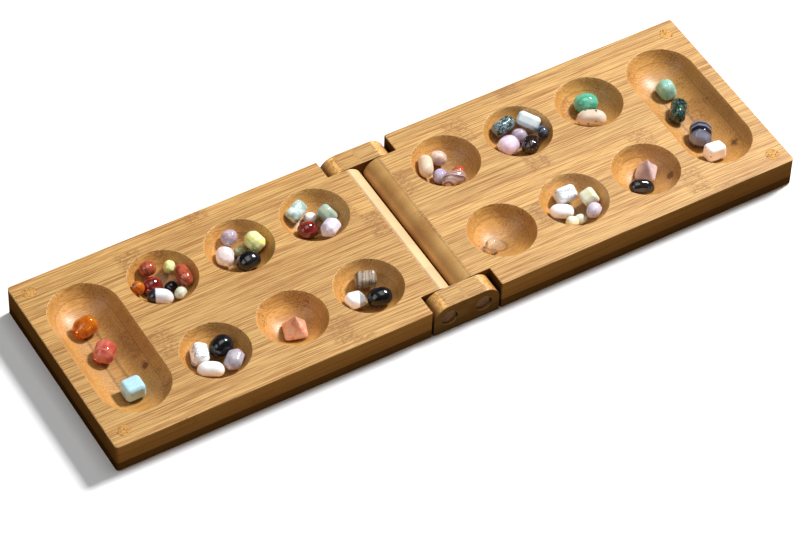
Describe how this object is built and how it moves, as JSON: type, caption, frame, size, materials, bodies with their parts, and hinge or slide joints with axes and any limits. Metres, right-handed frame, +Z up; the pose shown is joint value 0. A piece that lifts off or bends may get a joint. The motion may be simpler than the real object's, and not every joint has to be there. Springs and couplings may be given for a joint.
{
  "type": "folding mancala board",
  "caption": "Folding wooden mancala board, shown open, with round pits, long end stores, wooden hinge links and polished stones.",
  "frame": {"origin": "middle of the open board on the surface that it lies on, under the fold", "axes": "+X along the board towards the right half, +Y towards the back, +Z up"},
  "size_m": [0.436, 0.13, 0.022],
  "materials": {
    "board_bamboo": "satin",
    "link_bamboo": "satin",
    "dowel_wood": "matte",
    "plug_wood": "satin",
    "magnet_metal": "gloss",
    "polished_stone": "gloss"
  },
  "bodies": {
    "left_half": {"left_board": "board_bamboo", "left_front_dowel": "dowel_wood", "left_front_magnet": "magnet_metal", "left_front_plug": "plug_wood", "left_back_dowel": "dowel_wood", "left_back_magnet": "magnet_metal", "left_back_plug": "plug_wood", "stones_left_back_inner": "polished_stone", "stones_left_back_middle": "polished_stone", "stones_left_back_outer": "polished_stone", "stones_left_front_inner": "polished_stone", "stones_left_front_middle": "polished_stone", "stones_left_front_outer": "polished_stone", "stones_left_store": "polished_stone"},
    "hinge_links": {"front_link": "link_bamboo", "back_link": "link_bamboo"},
    "right_half": {"right_board": "board_bamboo", "right_front_dowel": "dowel_wood", "right_front_magnet": "magnet_metal", "right_front_plug": "plug_wood", "right_back_dowel": "dowel_wood", "right_back_magnet": "magnet_metal", "right_back_plug": "plug_wood", "stones_right_back_inner": "polished_stone", "stones_right_back_middle": "polished_stone", "stones_right_back_outer": "polished_stone", "stones_right_front_inner": "polished_stone", "stones_right_front_middle": "polished_stone", "stones_right_front_outer": "polished_stone", "stones_right_store": "polished_stone"}
  },
  "joints": [
    {"name": "left_hinge", "type": "hinge", "parent": "left_half", "child": "hinge_links", "pos_m": [-0.011, 0, 0.01025], "axis": [0, -1, 0], "range_deg": [0, 90]},
    {"name": "right_hinge", "type": "hinge", "parent": "hinge_links", "child": "right_half", "pos_m": [0.011, 0, 0.01025], "axis": [0, -1, 0], "range_deg": [0, 90]}
  ]
}
